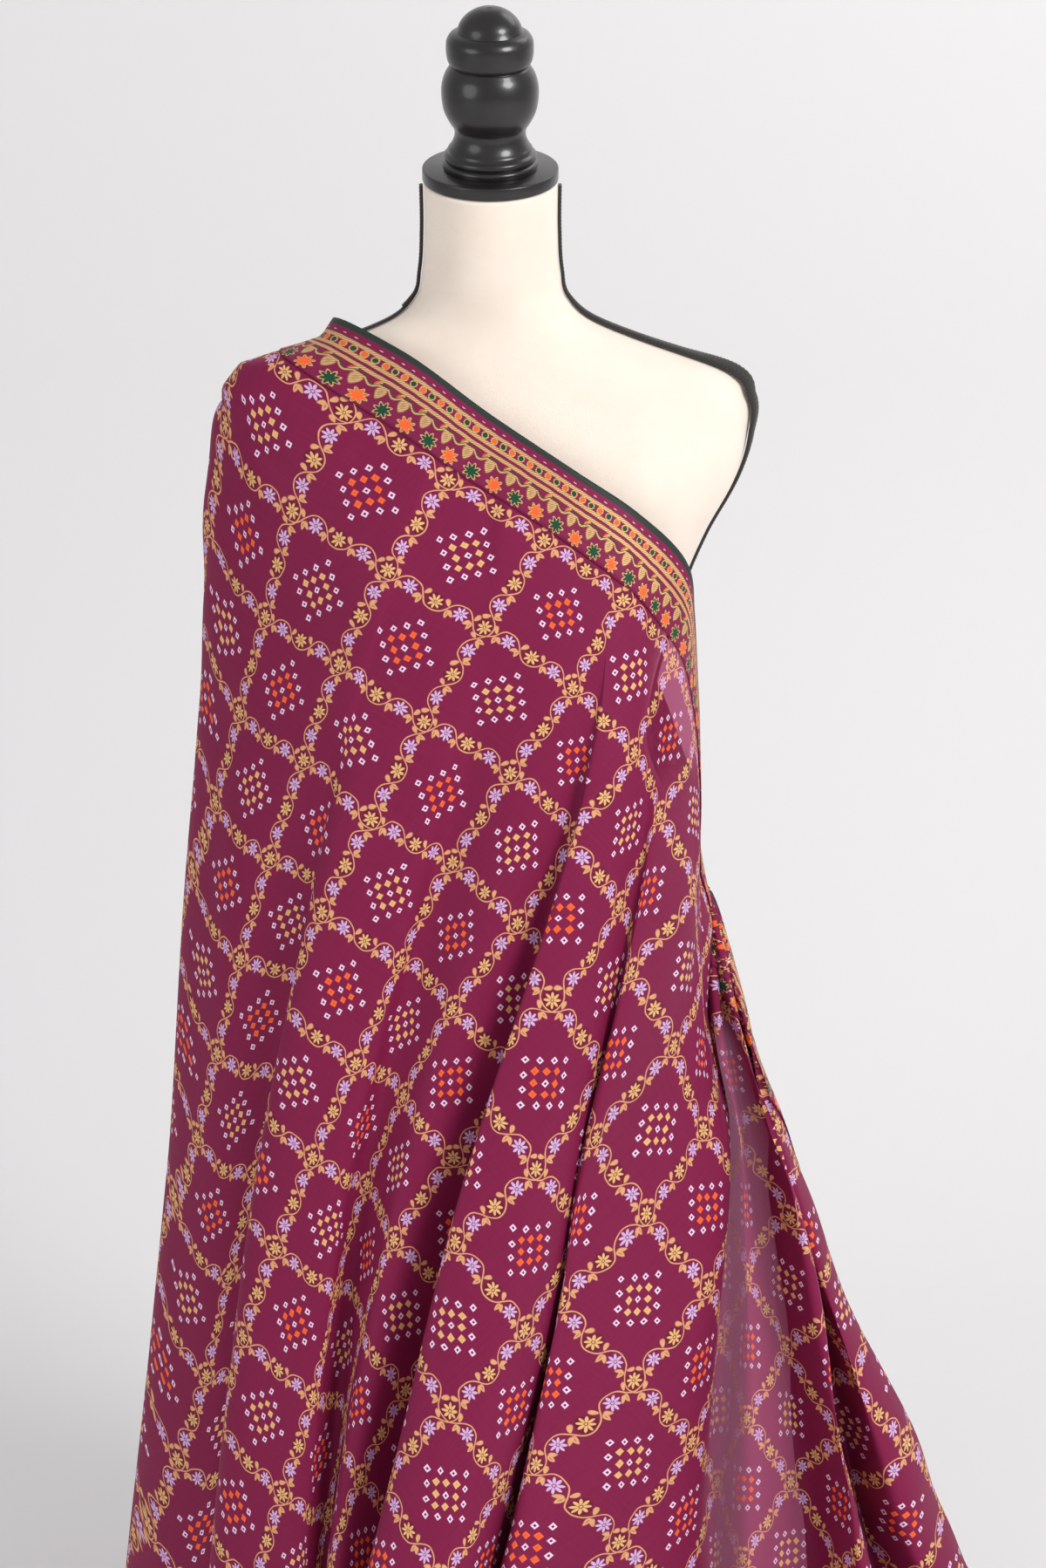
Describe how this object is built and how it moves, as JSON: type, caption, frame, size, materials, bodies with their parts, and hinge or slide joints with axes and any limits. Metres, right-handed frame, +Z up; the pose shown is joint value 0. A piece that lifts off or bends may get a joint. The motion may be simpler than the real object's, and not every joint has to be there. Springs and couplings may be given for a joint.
{
  "type": "gharchola saree on a dress form",
  "caption": "Wine red saree with a printed grid and an embroidered border, draped over one shoulder of a padded dress form on a round stand.",
  "frame": {"origin": "centre of the underside of the stand's round base, on the floor", "axes": "+Z up, the form faces -Y, the covered shoulder is on the -X side"},
  "size_m": [0.7748, 0.683, 1.4054],
  "materials": {
    "form_cover": "matt linen cover",
    "turned_black": "turned wood in black satin paint",
    "braid": "twisted black braid",
    "stand": "black satin paint",
    "saree_cloth": "fine wine red silk and cotton, slightly sheer"
  },
  "bodies": {
    "root": {"torso": "form_cover", "neck_cap": "turned_black", "finial": "turned_black", "braid_right": "braid", "braid_left": "braid", "stand_base": "stand", "stand_pole": "stand", "saree": "saree_cloth"}
  },
  "joints": []
}
